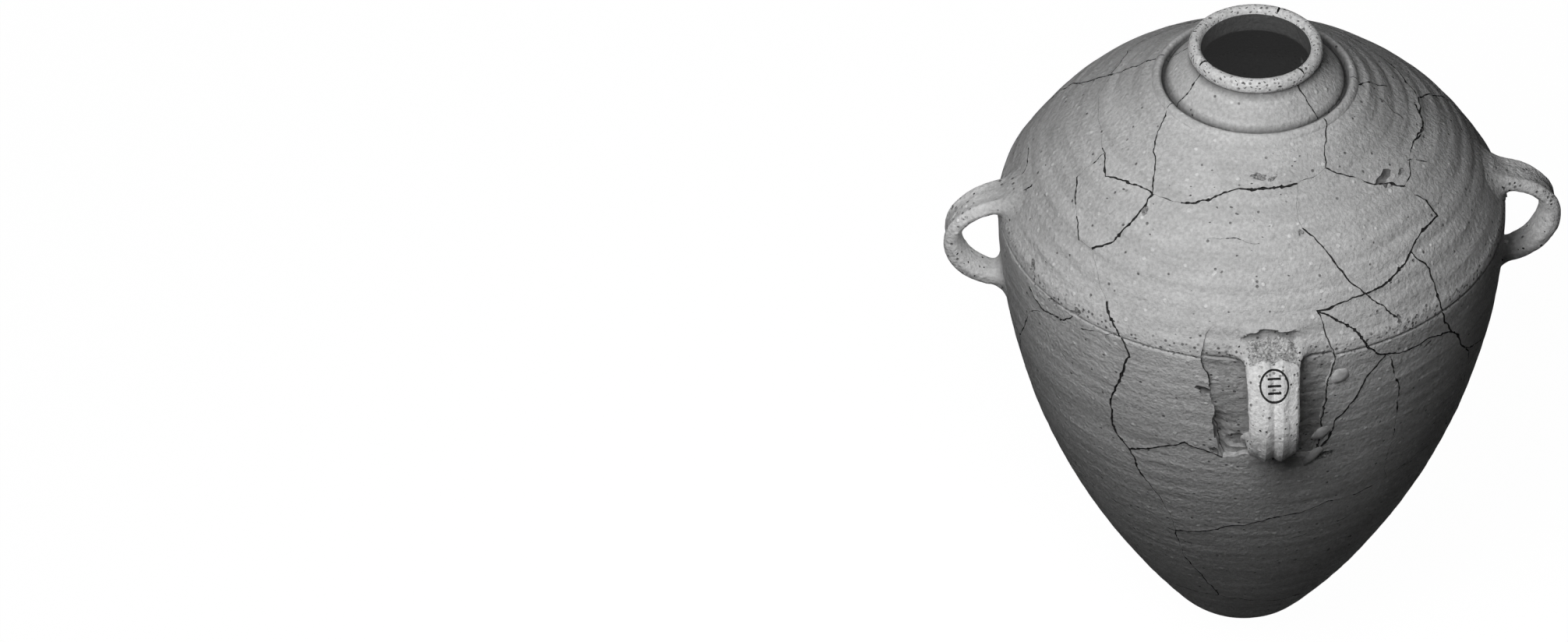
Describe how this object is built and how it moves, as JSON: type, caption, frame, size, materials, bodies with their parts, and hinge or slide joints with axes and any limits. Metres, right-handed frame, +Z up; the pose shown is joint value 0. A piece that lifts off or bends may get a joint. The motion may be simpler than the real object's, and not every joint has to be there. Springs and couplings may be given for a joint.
{
  "type": "storage jar",
  "caption": "Round-based ceramic storage jar with a domed shoulder, low collar neck, rolled rim and loop handles, mended from sherds.",
  "frame": {"origin": "lowest point of the round base, on the jar's axis", "axes": "+Z up the jar's axis to the mouth, the stamped front handle at -Y, the right handle at +X"},
  "size_m": [0.5166, 0.5226, 0.5981],
  "materials": {
    "body_clay": null,
    "handle_clay": "matt fired clay, a little paler than the body"
  },
  "bodies": {
    "root": {"base": "body_clay", "belly_back_left": "body_clay", "belly_back_right": "body_clay", "belly_front": "body_clay", "belly_front_left": "body_clay", "belly_front_right": "body_clay", "belly_left": "body_clay", "belly_left_back": "body_clay", "belly_right": "body_clay", "belly_sliver": "body_clay", "handle_back": "handle_clay", "handle_front": "handle_clay", "handle_left": "handle_clay", "handle_patch": "body_clay", "handle_right": "handle_clay", "lower_back": "body_clay", "lower_front": "body_clay", "lower_left": "body_clay", "lower_right": "body_clay", "neck_back": "body_clay", "neck_front": "body_clay", "neck_left": "body_clay", "neck_right": "body_clay", "shoulder_back": "body_clay", "shoulder_back_left": "body_clay", "shoulder_back_right": "body_clay", "shoulder_chip": "body_clay", "shoulder_front": "body_clay", "shoulder_front_right": "body_clay", "shoulder_left": "body_clay", "shoulder_right": "body_clay", "shoulder_wedge": "body_clay"}
  },
  "joints": []
}
